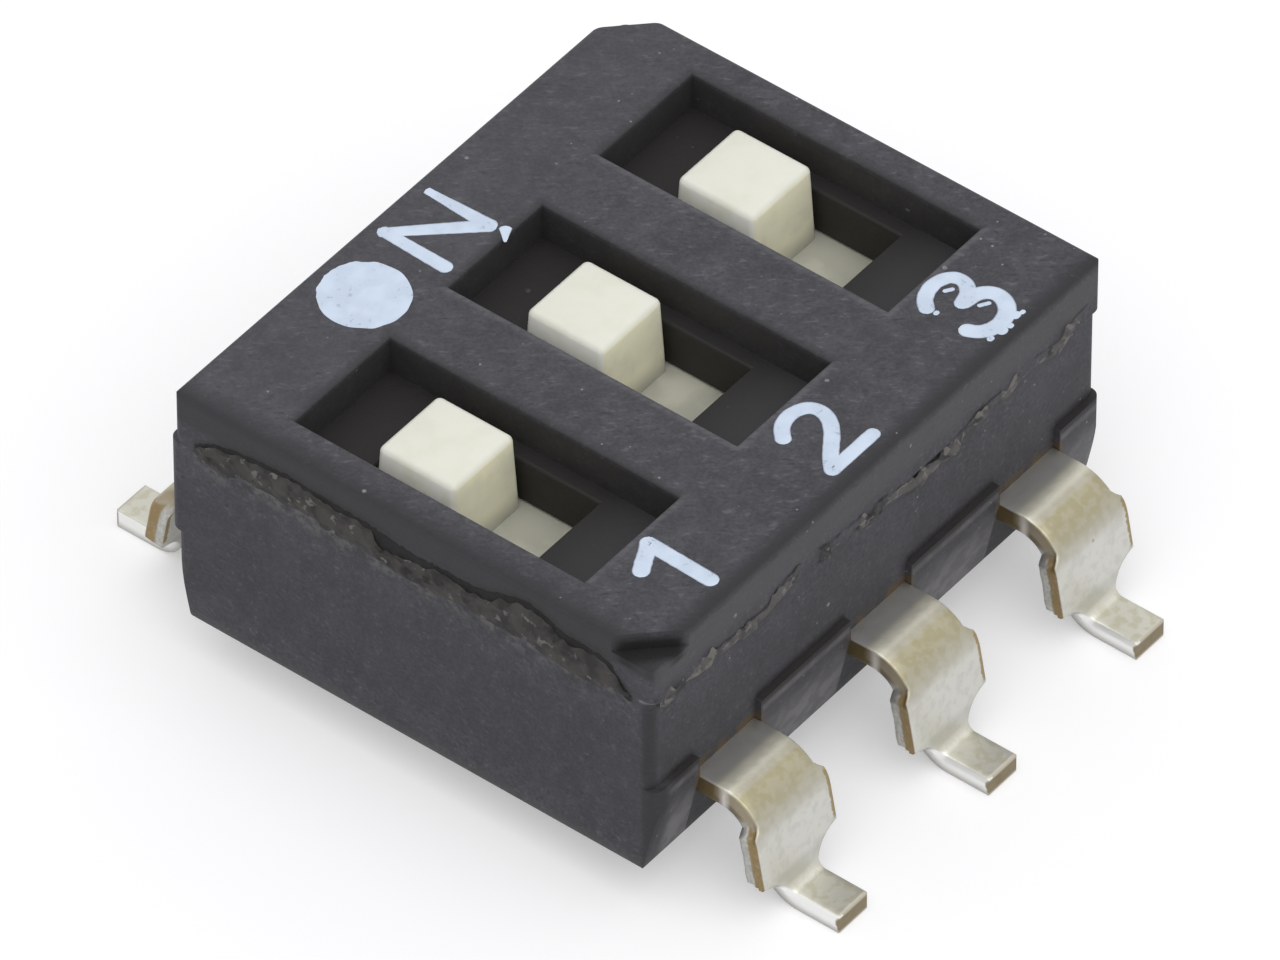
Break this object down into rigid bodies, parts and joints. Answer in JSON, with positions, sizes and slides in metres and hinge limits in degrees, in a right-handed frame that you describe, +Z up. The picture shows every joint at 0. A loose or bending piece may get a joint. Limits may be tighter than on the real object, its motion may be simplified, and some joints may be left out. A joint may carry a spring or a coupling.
{
  "type": "dip switch",
  "caption": "Surface-mount slide switch row with flush knobs in open windows and gull-wing terminals along both long sides.",
  "frame": {"origin": "on the board plane, under the middle of the package", "axes": "+X along the row from the first switch to the last, +Y towards ON, +Z up away from the board"},
  "size_m": [0.0076, 0.0096, 0.0037],
  "materials": {
    "black_plastic": "fine matt grain, moulded",
    "cream_plastic": "satin, moulded",
    "tinned_metal": "dull tin plate with bare copper alloy at the cut edges",
    "spring_metal": "bright rolled strip",
    "print": "pad-printed ink"
  },
  "bodies": {
    "housing": {"cover": "black_plastic", "base": "black_plastic", "terminal_1a": "tinned_metal", "terminal_2a": "tinned_metal", "terminal_3a": "tinned_metal", "terminal_1b": "tinned_metal", "terminal_2b": "tinned_metal", "terminal_3b": "tinned_metal"},
    "switch_1": {"slider_1": "cream_plastic", "contact_1": "spring_metal"},
    "switch_2": {"slider_2": "cream_plastic", "contact_2": "spring_metal"},
    "switch_3": {"slider_3": "cream_plastic", "contact_3": "spring_metal"}
  },
  "joints": [
    {"name": "slide_1", "type": "slide", "parent": "housing", "child": "switch_1", "axis": [0, 1, 0], "range_m": [-0.00096, 0.00006]},
    {"name": "slide_2", "type": "slide", "parent": "housing", "child": "switch_2", "axis": [0, 1, 0], "range_m": [-0.00102, 0]},
    {"name": "slide_3", "type": "slide", "parent": "housing", "child": "switch_3", "axis": [0, 1, 0], "range_m": [-0.00102, 0]}
  ]
}
